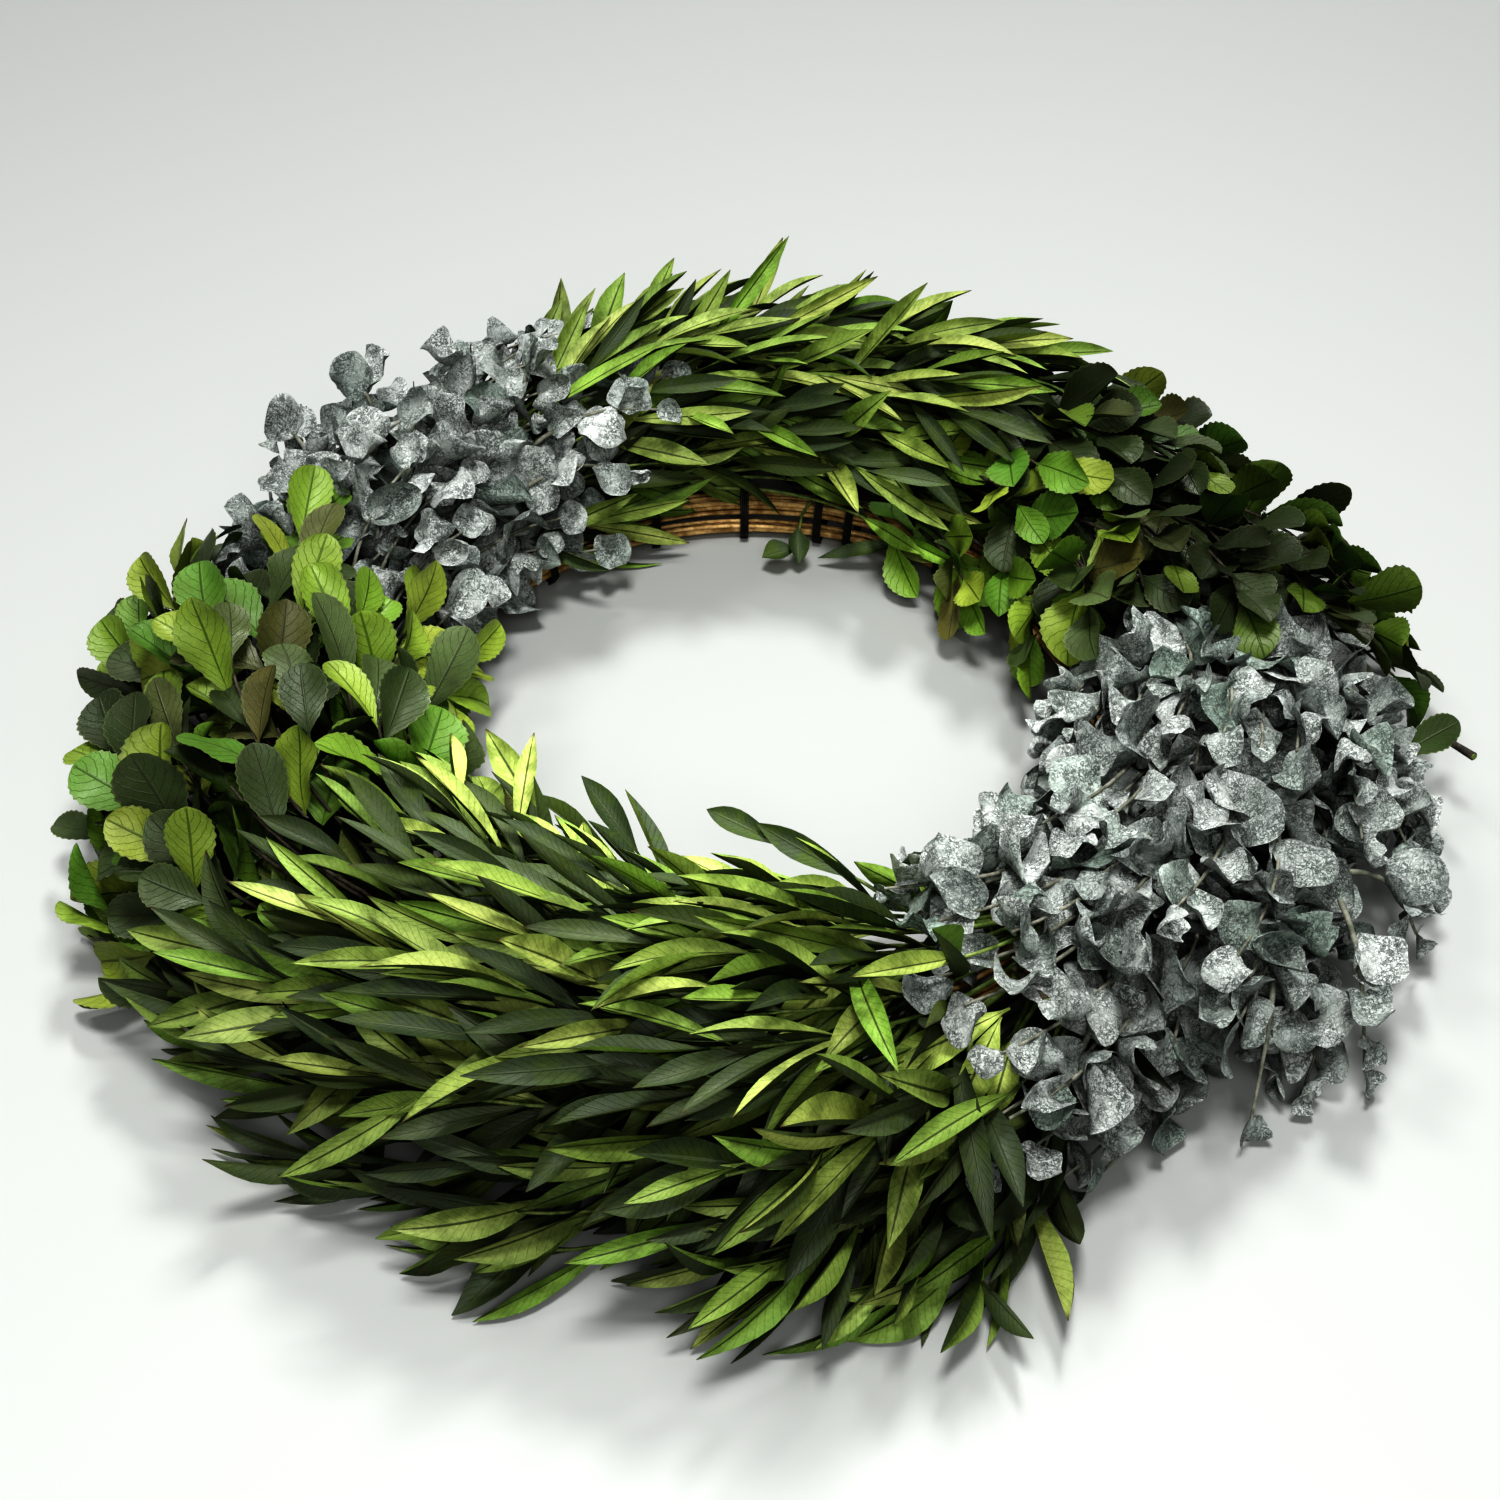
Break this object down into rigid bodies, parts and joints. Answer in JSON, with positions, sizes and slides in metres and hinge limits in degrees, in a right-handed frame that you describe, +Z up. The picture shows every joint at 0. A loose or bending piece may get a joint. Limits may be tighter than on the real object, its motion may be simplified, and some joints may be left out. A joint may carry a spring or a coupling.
{
  "type": "dried foliage wreath",
  "caption": "Round wreath of dried eucalyptus, narrow-leaved and broad-leaved sprays tied in overlapping bunches on a twig ring, lying flat.",
  "frame": {"origin": "middle of the wreath's footprint, on the surface that it lies on", "axes": "+Z up out of the surface, towards the leafy face; -Y towards the side with the longest fan of narrow leaves; all tips point clockwise seen from +Z"},
  "size_m": [0.5889, 0.5778, 0.1223],
  "materials": {
    "eucalyptus_leaf": "dry, matt, silvery grey-green with a dark mottled crackle",
    "narrow_leaf": "dry, satin, yellow-green face and duller grey-green back",
    "broad_leaf": "dry, satin, bright to very dark green",
    "twig_bark": "dry matt bark, golden brown",
    "pale_stem": "dry, matt, pale grey",
    "green_stem": "dry, matt, pale green",
    "woody_stem": "dry, matt, grey-brown",
    "tie_thread": "dark waxed thread"
  },
  "bodies": {
    "root": {"lance_front_right": "narrow_leaf", "lance_front": "narrow_leaf", "lance_front_left": "narrow_leaf", "broad_left_front": "broad_leaf", "broad_left_back": "broad_leaf", "eucalyptus_left": "eucalyptus_leaf", "eucalyptus_back_left": "eucalyptus_leaf", "lance_back_left": "narrow_leaf", "lance_back": "narrow_leaf", "lance_back_right": "narrow_leaf", "broad_back_right": "broad_leaf", "broad_right": "broad_leaf", "eucalyptus_right": "eucalyptus_leaf", "eucalyptus_front_right": "eucalyptus_leaf", "eucalyptus_front": "eucalyptus_leaf", "tie_01": "tie_thread", "tie_02": "tie_thread", "tie_03": "tie_thread", "tie_04": "tie_thread", "tie_05": "tie_thread", "tie_06": "tie_thread", "tie_07": "tie_thread", "tie_08": "tie_thread", "tie_09": "tie_thread", "tie_10": "tie_thread", "tie_11": "tie_thread", "tie_12": "tie_thread", "tie_13": "tie_thread", "tie_14": "tie_thread", "tie_15": "tie_thread", "tie_16": "tie_thread", "tie_17": "tie_thread", "twig_ring": "twig_bark"}
  },
  "joints": []
}
